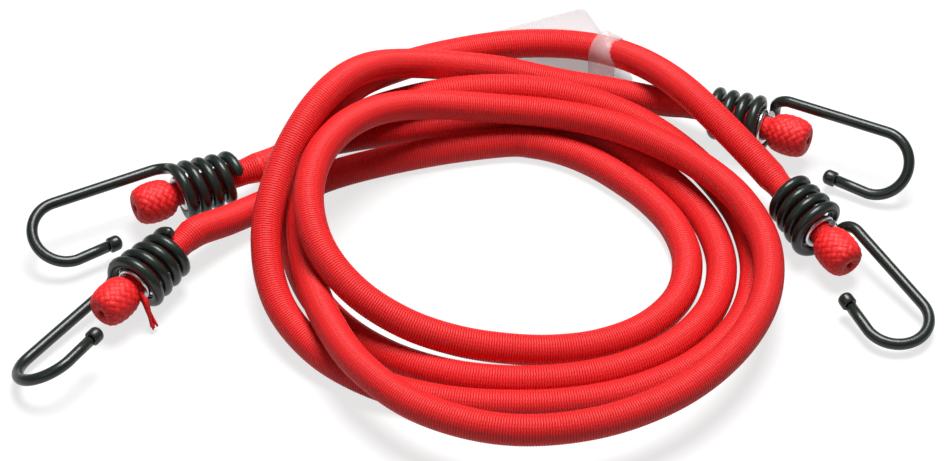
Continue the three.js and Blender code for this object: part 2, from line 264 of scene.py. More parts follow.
@dataclass(frozen=True)
class BraidFinish:
    """Woven polyester: fine cross ribs on the stretched cord, a loose diamond braid on the bulbs; their
    valleys are coloured darker as painted shade.
    """

    crest: Colour = shade(0.95, 0.018, 0.020)
    # painted shade: the colour deep in the rib and braid valleys
    valley_shade: Colour = shade(0.34, 0.005, 0.006)
    rib_columns: int = 26
    rib_shift: float = 0.3
    rib_round: float = 0.8
    column_depth: float = 0.16
    strand_dip: float = 0.35
    fibre_scale: float = 1800.0
    fibre_detail: float = 2.0
    wear_scale: float = 45.0
    wear_detail: float = 3.0
    # how dark the painted valley shade runs on the ribs, and how much lighter and softer it is on the
    # bulbs
    rib_shade_depth: float = 0.75
    bulb_softness: float = 0.5
    bulb_tone: float = 0.46
    fibre_tone: float = 0.25
    wear_tone: float = 0.2
    rib_lift: float = 0.3
    bulb_lift: float = 0.02
    fibre_lift: float = 0.12
    roughness: float = 0.46
    roughness_spread: float = 0.18
    specular: float = 0.36
    relief: float = 0.0008
    strength: float = 0.9

    def ribs(self, around: Signal, along: Signal) -> Signal:
        """Height of the cross ribs, each row shifted half a yarn from the next.

        Args:
            around: 0 to 1 round the cord.
            along: Millimetres along the cord.

        Returns:
            0 in the valleys and 1 on the crests.
        """
        column = around * float(self.rib_columns)
        stagger = (column.whole() * 0.5).fraction() * self.rib_shift
        rib = along / RIB_PITCH + stagger
        low = 1.0 - self.column_depth
        return (rib.hump() ** self.rib_round) * (low + column.hump() * self.column_depth)

    def diamonds(self, around: Signal, along: Signal) -> Signal:
        """Height of two crossing sets of yarns that pass over each other in turn.

        Args:
            around: 0 to 1 round the bulb.
            along: Millimetres along the bulb.

        Returns:
            0 in the valleys and 1 on the crests.
        """
        climb = along / BRAID_PITCH
        right = around * float(BRAID_STRANDS) + climb
        left = around * float(BRAID_STRANDS) - climb
        over = ((right.whole() + left.whole()) * 0.5).fraction() * 2.0
        low = 1.0 - self.strand_dip
        first = right.hump() * (low + left.hump() * self.strand_dip)
        second = left.hump() * (low + right.hump() * self.strand_dip)
        return first * over + second * (1.0 - over)

    def material(self) -> bpy.types.Material:
        """Makes the sheath's material.

        Returns:
            The material, which reads the weave map and the slack attribute.
        """
        sheet = NodeSheet("woven_sheath_red")
        uv = sheet.node("ShaderNodeUVMap", {"uv_map": "weave"}, {}).outputs["UV"]
        axes = sheet.node("ShaderNodeSeparateXYZ", {}, {"Vector": uv})
        around = Signal(sheet, axes.outputs["X"])
        along = Signal(sheet, axes.outputs["Y"]) * (1.0 / MM)
        slack = sheet.signal("ShaderNodeAttribute", {"attribute_name": "slack"}, {}, "Fac")
        yarn = sheet.noise(self.fibre_scale, self.fibre_detail)
        worn = sheet.noise(self.wear_scale, self.wear_detail)
        height = self.ribs(around, along) * (1.0 - slack) + self.diamonds(around, along) * slack
        # painted shade: the colour darkens with depth into the rib and braid valleys, then yarn and wear
        # noise vary it at random
        tone = height * (self.rib_shade_depth - slack * self.bulb_softness) + slack * self.bulb_tone
        tone = tone + yarn * self.fibre_tone + (worn - 0.5) * self.wear_tone
        lift = height * (self.rib_lift + slack * self.bulb_lift) + yarn * self.fibre_lift
        return sheet.surface({
            "Base Color": sheet.mix(tone, self.valley_shade, self.crest),
            "Roughness": self.roughness + yarn * self.roughness_spread,
            "Specular IOR Level": self.specular,
            "Normal": sheet.bump(lift, self.relief, self.strength),
        })


@dataclass(frozen=True)
class VinylFinish:
    """Gloss black dip coating with a faint orange peel and dust-dull patches."""

    colour: Colour = shade(0.011, 0.0165, 0.0135)
    dusty: Colour = shade(0.022, 0.030, 0.025)
    patch_scale: float = 120.0
    patch_detail: float = 3.0
    patch_contrast: float = 2.0
    peel_scale: float = 900.0
    peel_detail: float = 2.0
    roughness: float = 0.23
    roughness_spread: float = 0.14
    specular: float = 0.42
    relief: float = 0.0003
    strength: float = 0.12

    def material(self, name: str) -> bpy.types.Material:
        """Makes the coating's material.

        Args:
            name: The material's name.

        Returns:
            The material.
        """
        sheet = NodeSheet(name)
        patch = sheet.noise(self.patch_scale, self.patch_detail)
        peel = sheet.noise(self.peel_scale, self.peel_detail)
        return sheet.surface({
            "Base Color": sheet.mix(patch ** self.patch_contrast, self.colour, self.dusty),
            "Roughness": self.roughness + patch * self.roughness_spread,
            "Specular IOR Level": self.specular,
            "Normal": sheet.bump(peel, self.relief, self.strength),
        })


@dataclass(frozen=True)
class MottledFinish:
    """A surface whose colour, roughness, cover and relief all follow one soft noise."""

    name: str
    low: Colour
    high: Colour
    scale: float
    detail: float
    roughness: float
    roughness_spread: float
    relief: float
    strength: float
    specular: float = 0.5
    metallic: float = 0.0
    cover: float = 1.0
    cover_spread: float = 0.0

    def material(self) -> bpy.types.Material:
        """Makes the finish's material.

        Returns:
            The material, translucent where its cover is less than full.
        """
        sheet = NodeSheet(self.name)
        mottle = sheet.noise(self.scale, self.detail)
        inputs = {
            "Base Color": sheet.mix(mottle, self.low, self.high),
            "Metallic": self.metallic,
            "Roughness": self.roughness + mottle * self.roughness_spread,
            "Specular IOR Level": self.specular,
            "Normal": sheet.bump(mottle, self.relief, self.strength),
        }
        if self.cover < 1.0:
            inputs["Alpha"] = self.cover + mottle * self.cover_spread
        return sheet.surface(inputs)


@dataclass(frozen=True)
class LooseYarnFinish(MottledFinish):
    """Unwoven sheath yarn: bright, fuzzy fibres with darker gaps."""

    name: str = "loose_yarn_red"
    low: Colour = shade(0.55, 0.008, 0.010)
    high: Colour = shade(0.95, 0.018, 0.020)
    scale: float = 2400.0
    detail: float = 2.0
    roughness: float = 0.6
    roughness_spread: float = 0.15
    relief: float = 0.0003
    strength: float = 0.4
    specular: float = 0.28


@dataclass(frozen=True)
class ZincFinish(MottledFinish):
    """Galvanised steel wire with a pale bloom."""

    name: str = "galvanised_crimp"
    low: Colour = shade(0.46, 0.47, 0.49)
    high: Colour = shade(0.78, 0.79, 0.81)
    scale: float = 420.0
    detail: float = 4.0
    roughness: float = 0.2
    roughness_spread: float = 0.22
    relief: float = 0.0002
    strength: float = 0.2
    metallic: float = 1.0


@dataclass(frozen=True)
class RubberFinish(MottledFinish):
    """Natural rubber core with talc bloom."""

    name: str = "rubber_core"
    low: Colour = shade(0.52, 0.42, 0.27)
    high: Colour = shade(0.78, 0.73, 0.62)
    scale: float = 300.0
    detail: float = 4.0
    roughness: float = 0.72
    roughness_spread: float = 0.15
    relief: float = 0.0003
    strength: float = 0.3


@dataclass(frozen=True)
class FilmFinish(MottledFinish):
    """Thin translucent film, clouded by handling."""

    name: str = "tag_film"
    low: Colour = shade(0.82, 0.70, 0.71)
    high: Colour = shade(0.68, 0.57, 0.58)
    scale: float = 90.0
    detail: float = 3.0
    roughness: float = 0.25
    roughness_spread: float = 0.2
    relief: float = 0.0008
    strength: float = 0.25
    cover: float = 0.26
    cover_spread: float = 0.16


def blend(before: float, start: float, stop: float, after: float, share: float) -> float:
    """One coordinate of a smooth curve through four even values.

    Args:
        before: The value before the stretch.
        start: The value where the stretch starts.
        stop: The value where it stops.
        after: The value after it.
        share: 0 at start and 1 at stop.

    Returns:
        The curve's value.
    """
    pull = (stop - before) / 2
    push = (after - start) / 2
    rise = stop - start
    return start + share * (pull + share * (3 * rise - 2 * pull - push + share * (pull + push - 2 * rise)))


def along(values: Sequence[float], place: float) -> float:
    """The value at a place between two entries; past its ends the list runs on straight.

    Args:
        values: The list.
        place: The place, counted in entries.

    Returns:
        The value there.
    """
    last = len(values) - 1
    index = min(int(place), last - 1)
    start, stop = values[index], values[index + 1]
    before = values[index - 1] if index > 0 else 2 * start - stop
    after = values[index + 2] if index + 2 <= last else 2 * stop - start
    return blend(before, start, stop, after, place - index)


@dataclass(frozen=True)
class Hoop:
    """One ring of a swept tube.

    run is its place on the weave map, ridge raises the whole ring, and knob raises every other corner,
    in step with the row's number.
    """

    centre: Vector
    direction: Vector
    radius: float
    slack: float = 0.0
    run: float = 0.0
    ridge: float = 0.0
    knob: float = 0.0
    row: int = 0

    def reach(self, column: int) -> float:
        """The radius at one corner, with its relief."""
        return self.radius + self.ridge + self.knob * (1 if (column + self.row) % 2 else -1)


def hoops_along(points: Sequence[Vector], radii: Sequence[float]) -> list[Hoop]:
    """Hoops that stand square to a line.

    Args:
        points: The line's points, in metres.
        radii: A radius for each point, in millimetres.

    Returns:
        One hoop for each point.
    """
    hoops = []
    for index, point in enumerate(points):
        toward = points[min(index + 1, len(points) - 1)] - points[max(index - 1, 0)]
        hoops.append(Hoop(point, toward.normalized(), radii[index] * MM))
    return hoops


def fix_order(elements: Any, places: Sequence[Vector]) -> None:
    """Sorts a bmesh's vertices or faces by place, because spinning leaves them in any order.

    Args:
        elements: The bmesh's vertices or faces.
        places: The place of each, in metres.
    """
    by_place = sorted(zip(elements, places), key=lambda pair: pair[1].to_tuple(PLACE_DIGITS))
    ranks = {pair[0]: rank for rank, pair in enumerate(by_place)}
    elements.sort(key=ranks.get)


def close_mesh(shape: bmesh.types.BMesh, name: str) -> bpy.types.Mesh:
    """Turns a bmesh into a mesh and frees it.

    Args:
        shape: The finished bmesh.
        name: The mesh's name.

    Returns:
        The mesh.
    """
    mesh = bpy.data.meshes.new(name)
    shape.to_mesh(mesh)
    shape.free()
    return mesh


@dataclass
class SweptTube:
    """A round tube over a row of hoops, made from one grid that is wrapped round and welded.

    A joined tube's last hoop meets its first, a level one keeps the top of each hoop up, and no point
    lies under the floor where one is given.
    """

    name: str
    sides: int
    joined: bool = False
    level: bool = True
    floor: float | None = None
    steep: float = 0.9
    weld: float = 1e-7

    def frames(self, hoops: Sequence[Hoop]) -> list[tuple[Vector, Vector]]:
        """The side and rise directions of each hoop.

        Args:
            hoops: The hoops in order.

        Returns:
            One pair for each hoop.
        """
        rise = UP.copy()
        if abs(hoops[0].direction.z) > self.steep:
            rise = Vector((1.0, 0.0, 0.0))
        pairs = []
        for hoop in hoops:
            if self.level:
                rise = UP.copy()
            rise = (rise - hoop.direction * rise.dot(hoop.direction)).normalized()
            pairs.append((rise.cross(hoop.direction), rise.copy()))
        return pairs

    def mesh(self, hoops: Sequence[Hoop]) -> bpy.types.Mesh:
        """Builds the tube.

        Args:
            hoops: The hoops in order.

        Returns:
            The mesh, with its weave map and slack attribute.
        """
        ring = list(hoops) + ([hoops[0]] if self.joined else [])
        rows = len(ring)
        shape = bmesh.new()
        bmesh.ops.create_grid(shape, x_segments=self.sides, y_segments=rows - 1, size=1.0)
        shape.verts.ensure_lookup_table()
        columns = len(shape.verts) // rows
        pairs = self.frames(ring)
        weave = shape.loops.layers.uv.new("weave")
        slack = shape.verts.layers.float.new("slack")
        spots = {}
        for vert in shape.verts:
            column = round((vert.co.x + 1.0) / 2.0 * (columns - 1))
            row = round((vert.co.y + 1.0) / 2.0 * (rows - 1))
            spots[vert] = (column, row)
        for face in shape.faces:
            for loop in face.loops:
                column, row = spots[loop.vert]
                loop[weave].uv = (column / (columns - 1), ring[row].run)
        for vert, (column, row) in spots.items():
            hoop = ring[row]
            side, rise = pairs[row]
            angle = 2 * math.pi * column / (columns - 1) - math.pi / 2
            point = hoop.centre + hoop.reach(column) * (math.cos(angle) * side + math.sin(angle) * rise)
            if self.floor is not None:
                point.z = max(point.z, self.floor)
            vert.co = point
            vert[slack] = hoop.slack
        seam = [
            vert for vert, (column, row) in spots.items()
            if column in (0, columns - 1) or self.joined and row in (0, rows - 1)
        ]
        bmesh.ops.remove_doubles(shape, verts=seam, dist=self.weld)
        rim = [edge for edge in shape.edges if edge.is_boundary]
        if rim:
            bmesh.ops.holes_fill(shape, edges=rim, sides=0)
        bmesh.ops.recalc_face_normals(shape, faces=shape.faces)
        for face in shape.faces:
            face.smooth = len(face.verts) == 4
        return close_mesh(shape, self.name)


def place_piece(
    name: str, mesh: bpy.types.Mesh, material: bpy.types.Material, body: str
) -> bpy.types.Object:
    """Puts a mesh into the scene as a piece of the object.

    Args:
        name: The piece's name.
        mesh: Its mesh, already in place.
        material: Its finish.
        body: The body that it rides on.

    Returns:
        The piece.
    """
    piece = bpy.data.objects.new(name, mesh)
    bpy.context.scene.collection.objects.link(piece)
    mesh.materials.append(material)
    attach(piece, body)
    LOG.info("%s rides on %s", name, body)
    return piece


@dataclass(frozen=True)
class CordEnd:
    """Where one end of a cord lies, in millimetres from the coil's middle, and how its hook is turned."""

    place: tuple[float, float, float]
    heading: float
    pitch: float
    roll: float


@dataclass(frozen=True)
class Climb:
    """Where a cord climbs over the others: its turn, height in millimetres and spread in turns."""

    turn: float
    height: float
    spread: float


@dataclass(frozen=True)
class CordLay:
    """One cord's lay, in millimetres from the coil's middle.

    reaches is the distance from the middle at every sixth of a turn, clockwise from the back.
    """

    name: str
    label: str
    ends: dict[Side, CordEnd]
    tail_in: Sequence[tuple[float, float, float]]
    reaches: Sequence[float]
    climbs: Sequence[Climb]
    tail_out: Sequence[tuple[float, float, float]]


CORD_ONE = CordLay(
    name="cord_one",
    label="one",
    ends={
        Side.LEFT: CordEnd((-119.6, -34.7, 11), 232, -3, -29),
        Side.RIGHT: CordEnd((104.6, -10.2, 11), -57, -8, 3),
    },
    tail_in=[(-90.3, -0.4, 8.2), (-78.4, 11.6, 4.5), (-56.5, 26.5, 4), (-27, 37, 4)],
    reaches=[42.5, 47, 66, 60.5, 67.5, 53, 46.5, 60, 96, 105.5, 72, 65.5, 88],
    climbs=[Climb(0.76, 26.5, 0.18), Climb(1.43, 14, 0.54), Climb(1.84, 16, 0.09)],
    # The last two points lie half a millimetre over the solid's, so that the ribs clear the hook below.
    tail_out=[(20, 91, 7.5), (36.5, 84.5, 10), (50, 69, 16.4), (62.5, 49, 21.7), (77.5, 28.5, 19.3)],
)
CORD_TWO = CordLay(
    name="cord_two",
    label="two",
    ends={
        Side.LEFT: CordEnd((-107.8, 9.1, 11), 207, 0, 25),
        Side.RIGHT: CordEnd((89.5, 42.3, 11), -26, 0, 44),
    },
    tail_in=[(-77, 29, 7.5), (-62.5, 41.5, 4.5), (-32.5, 49.5, 4)],
    reaches=[53.5, 58.5, 77.5, 71, 70, 67, 57.5, 69.5, 88.5, 82, 84, 63.5, 73],
    climbs=[Climb(0.81, 7.5, 0.07), Climb(0.99, 11.5, 0.18), Climb(1.83, 35.5, 0.13)],
    tail_out=[(19, 72, 6), (37.5, 67, 6), (55, 59.5, 8)],
)


@dataclass(frozen=True)
class Finishes:
    """The materials that the pieces share."""

    braid: bpy.types.Material
    loose_yarn: bpy.types.Material
    rubber: bpy.types.Material
    wire: bpy.types.Material
    cap: bpy.types.Material
    zinc: bpy.types.Material
    film: bpy.types.Material

    @classmethod
    def make(cls) -> "Finishes":
        """Makes each material once."""
        return cls(
            braid=BraidFinish().material(),
            loose_yarn=LooseYarnFinish().material(),
            rubber=RubberFinish().material(),
            wire=VinylFinish().material("coated_hook_wire"),
            cap=VinylFinish().material("vinyl_tip_cap"),
            zinc=ZincFinish().material(),
            film=FilmFinish().material(),
        )


@dataclass(frozen=True)
class EndRow:
    """One row of a cord's end, in millimetres; its number is its place in the braid's lattice."""

    place: float
    radius: float
    slack: float = 0.0
    knob: float = 0.0
    number: int = 0

    def hoop(self, centre: Vector, direction: Vector, run: float) -> Hoop:
        """The row as a hoop.

        Args:
            centre: The hoop's middle.
            direction: The cord's direction there.
            run: Its place on the weave map, in millimetres.

        Returns:
            The hoop.
        """
        knob = self.knob * MM
        return Hoop(centre, direction, self.radius * MM, self.slack, run * MM, 0.0, knob, self.number)


@dataclass
class ElasticCord:
    """A sheathed cord with a bulb past each hook; sizes in millimetres.

    A place on an end is its distance past the hook's coil, so that places under the coil are negative.
    """

    lay: CordLay
    finishes: Finishes
    middle: tuple[float, float] = (8.66, -4.4)
    diameter: float = 10.0
    wall: float = 1.0
    core_clearance: float = 0.35
    floor_cut: float = 1.0
    neck: float = 7.8
    waist: float = 8.8
    bulb: float = 13.8
    bulb_start: float = 1.81
    bulb_length: float = 14.0
    mouth: float = 1.8
    dimple: float = 1.3
    neck_start: float = -3.15
    waist_start: float = -4.1
    waist_end: float = -24.2
    straight_end: float = -28.2
    lead: float = 1.2
    steps_per_turn: int = 24
    reaches_per_turn: int = 6
    knot_steps: int = 12
    rib_height: float = 0.14
    braid_height: float = 0.2
    bulb_roundness: float = 0.175
    braided_share: float = 0.9
    shoulder_share: float = 0.955
    mouth_round: float = 0.35
    neck_swell: float = 0.5
    neck_lead: float = 0.1
    neck_tail: float = 0.3
    neck_slack: tuple[float, float, float] = (0.9, 0.7, 0.3)
    waist_rows: int = 10
    plain_step: float = 4.0
    sides: int = 2 * BRAID_STRANDS
    core_sides: int = 12

    def direction(self, side: Side) -> Vector:
        """The direction out of the cord at one end.

        Args:
            side: Which end.

        Returns:
            A unit vector.
        """
        heading = math.radians(self.lay.ends[side].heading)
        pitch = math.radians(self.lay.ends[side].pitch)
        level = math.cos(pitch)
        return Vector((level * math.cos(heading), level * math.sin(heading), math.sin(pitch)))

    def spot(self, point: Sequence[float]) -> Vector:
        """A point measured from the coil's middle, in the part's frame and in metres."""
        return Vector((point[0] + self.middle[0], point[1] + self.middle[1], point[2])) * MM

    def on_end(self, side: Side, distance: float) -> Vector:
        """A point on the straight line of one end, a distance in millimetres past the hook's coil."""
        return self.spot(self.lay.ends[side].place) + self.direction(side) * distance * MM

    def turn_points(self) -> list[Vector]:
        """The coiled turns.

        Returns:
            A point at each step.
        """
        points = []
        turns = (len(self.lay.reaches) - 1) // self.reaches_per_turn
        for step in range(turns * self.steps_per_turn + 1):
            turn = step / self.steps_per_turn
            angle = math.pi / 2 - 2 * math.pi * turn
            reach = along(self.lay.reaches, turn * self.reaches_per_turn)
            height = self.diameter / 2 - self.floor_cut
            for climb in self.lay.climbs:
                height += climb.height * math.exp(-(((turn - climb.turn) / climb.spread) ** 2))
            points.append(self.spot((reach * math.cos(angle), reach * math.sin(angle), height)))
        return points

    def route(self, pace: float) -> list[Vector]:
        """The centreline between the straight ends, at even paces.

        Args:
            pace: The distance between two points, in millimetres.

        Returns:
            An even number of paces, so that ribs and valleys alternate up to the end.
        """
        start = self.on_end(Side.LEFT, self.straight_end)
        stop = self.on_end(Side.RIGHT, self.straight_end)
        knots = [self.spot(point) for point in self.lay.tail_in]
        knots += self.turn_points()
        knots += [self.spot(point) for point in self.lay.tail_out]
        lead_in = knots[0] + self.direction(Side.LEFT) * self.lead * (knots[0] - start).length
        lead_out = knots[-1] + self.direction(Side.RIGHT) * self.lead * (knots[-1] - stop).length
        knots = [lead_in, start, *knots, stop, lead_out]
        axes = [[knot[axis] for knot in knots] for axis in range(3)]
        fine = self.knot_steps
        places = [1 + step / fine for step in range((len(knots) - 3) * fine + 1)]
        points = [Vector([along(values, place) for values in axes]) for place in places]
        runs = [0.0]
        for here, ahead in zip(points, points[1:]):
            runs.append(runs[-1] + (ahead - here).length)
        count = 2 * round(runs[-1] / (2 * pace * MM))
        route = []
        for step in range(count + 1):
            target = runs[-1] * step / count
            index = min(max(bisect.bisect_right(runs, target) - 1, 0), len(runs) - 2)
            share = (target - runs[index]) / (runs[index + 1] - runs[index])
            route.append(Vector([along(values, places[index] + share / fine) for values in axes]))
        return route

    def bulb_rows(self, inset: float) -> list[EndRow]:
        """The rows of the bulb, from its shoulder at the tip to its shoulder at the neck.

        Args:
            inset: How far the skin lies under the sheath's outside.

        Returns:
            The rows in order.
        """
        centre = self.bulb_start + self.bulb_length / 2
        half = self.bulb_length / 2 - inset
        bulb = self.bulb / 2 - inset
        lattice = BRAID_PITCH / 2
        braided = self.braided_share * half
        knob = self.braid_height / 2 if inset == 0 else 0.0
        rows = []
        first = math.ceil((centre - braided - self.straight_end) / lattice)
        last = math.floor((centre + braided - self.straight_end) / lattice)
        for number in range(last, first - 1, -1):
            place = self.straight_end + number * lattice
            radius = bulb * (1 - ((place - centre) / half) ** 2) ** self.bulb_roundness
            rows.append(EndRow(place, radius, 1.0, knob, number))
        shoulder = bulb * (1 - self.shoulder_share ** 2) ** self.bulb_roundness
        rows.insert(0, EndRow(centre + self.shoulder_share * half, shoulder, 1.0))
        rows.append(EndRow(centre - self.shoulder_share * half, shoulder, 1.0))
        return rows

    def end_rows(self, inset: float, tip: Sequence[tuple[float, float]]) -> list[EndRow]:
        """The rows of one skin along an end, from the tip inward.

        Args:
            inset: How far the skin lies under the sheath's outside.
            tip: The skin's first places and radii, at the mouth.

        Returns:
            The rows in order.
        """
        neck = self.neck / 2 - inset
        waist = self.waist / 2 - inset
        full = self.diameter / 2 - inset
        rows = [EndRow(place, radius, 1.0) for place, radius in tip]
        rows += self.bulb_rows(inset)
        above, below, lowest = self.neck_slack
        rows.append(EndRow(self.bulb_start + inset / 2 + self.neck_lead, neck + self.neck_swell, above))
        rows.append(EndRow(self.bulb_start - inset / 2 - self.neck_tail, neck, below))
        rows.append(EndRow(self.neck_start, neck, lowest))
        waist_run = self.waist_end - self.waist_start
        for step in range(self.waist_rows + 1):
            rows.append(EndRow(self.waist_start + waist_run * step / self.waist_rows, waist))
        rows.append(EndRow((self.waist_end + self.straight_end) / 2, (waist + full) / 2))
        rows.append(EndRow(self.straight_end, full))
        return rows

    def skin(
        self, inset: float, tip: Sequence[tuple[float, float]], pace: float, ribbed: bool = False
    ) -> list[Hoop]:
        """The hoops of one skin, from the left tip to the right tip.

        Args:
            inset: How far the skin lies under the sheath's outside.
            tip: The skin's first places and radii, at the mouth.
            pace: The distance between two hoops on the route, in millimetres.
            ribbed: Whether every other hoop on the route is raised as a rib.

        Returns:
            The hoops in order.
        """
        rows = self.end_rows(inset, tip)
        route = self.route(pace)
        full = self.diameter / 2 - inset
        length = (len(route) - 1) * pace
        length_on_map = BRAID_PITCH * round(length / BRAID_PITCH)
        left = -self.direction(Side.LEFT)
        right = self.direction(Side.RIGHT)
        hoops = []
        for row in rows:
            run = self.straight_end - row.place
            hoops.append(row.hoop(self.on_end(Side.LEFT, row.place), left, run))
        for index in range(1, len(route) - 1):
            toward = (route[index + 1] - route[index - 1]).normalized()
            ridge = self.rib_height * (index % 2 - 0.5) if ribbed else 0.0
            hoops.append(Hoop(route[index], toward, full * MM, 0.0, index * pace * MM, ridge * MM))
        for row in reversed(rows):
            under_coil = (row.place - self.waist_end) / (self.waist_start - self.waist_end)
            shift = (length_on_map - length) * min(max(under_coil, 0.0), 1.0)
            run = length + shift + row.place - self.straight_end
            hoops.append(row.hoop(self.on_end(Side.RIGHT, row.place), right, run))
        return hoops

    def build(self) -> tuple[bpy.types.Object, bpy.types.Object, list[Vector]]:
        """Builds the sheath and its core.

        Returns:
            The sheath, the core and the sheath's centreline.
        """
        tip = self.bulb_start + self.bulb_length
        mouth = self.mouth / 2
        lip = (tip - self.mouth_round, mouth + self.mouth_round)
        outer_tip = [(tip - self.dimple, mouth), lip, (tip, self.bulb / 4)]
        inner_lip = (tip - self.wall, self.bulb / 4 - self.wall / 4)
        inner_tip = [(tip - self.dimple - self.wall, mouth), inner_lip]
        outer = self.skin(0.0, outer_tip, RIB_PITCH / 2, ribbed=True)
        inner = self.skin(self.wall, inner_tip, self.plain_step)
        tube = SweptTube(f"{self.lay.name}_woven_sheath", self.sides, joined=True, floor=0.0)
        mesh = tube.mesh(outer + inner[::-1])
        sheath = place_piece(tube.name, mesh, self.finishes.braid, ROOT_BODY)
        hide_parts(f"{self.lay.name}_sheath")
        inset = self.wall + self.core_clearance
        rubber = SweptTube(f"{self.lay.name}_rubber_core", self.core_sides)
        hoops = self.skin(inset, [(tip - self.dimple - inset, mouth)], self.plain_step)
        core_mesh = rubber.mesh(hoops)
        core = place_piece(rubber.name, core_mesh, self.finishes.rubber, ROOT_BODY)
        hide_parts(f"{self.lay.name}_core")
        return sheath, core, [hoop.centre for hoop in inner]

    def end_frame(self, side: Side, roll: float) -> Matrix:
        """The frame of one end: x out along the cord, y toward the back, turned by a roll.

        Args:
            side: Which end.
            roll: Degrees by which the shank's side is raised.

        Returns:
            The frame, in metres.
        """
        out = self.direction(side)
        back = Vector((-out.y, out.x, 0.0)).normalized()
        if back.y < 0:
            back.negate()
        rise = out.cross(back)
        frame_axes = Matrix((out, back, rise)).transposed().to_4x4()
        turn = Matrix.Rotation(math.radians(roll) * (1 if rise.z > 0 else -1), 4, "X")
        return Matrix.Translation(self.spot(self.lay.ends[side].place)) @ frame_axes @ turn


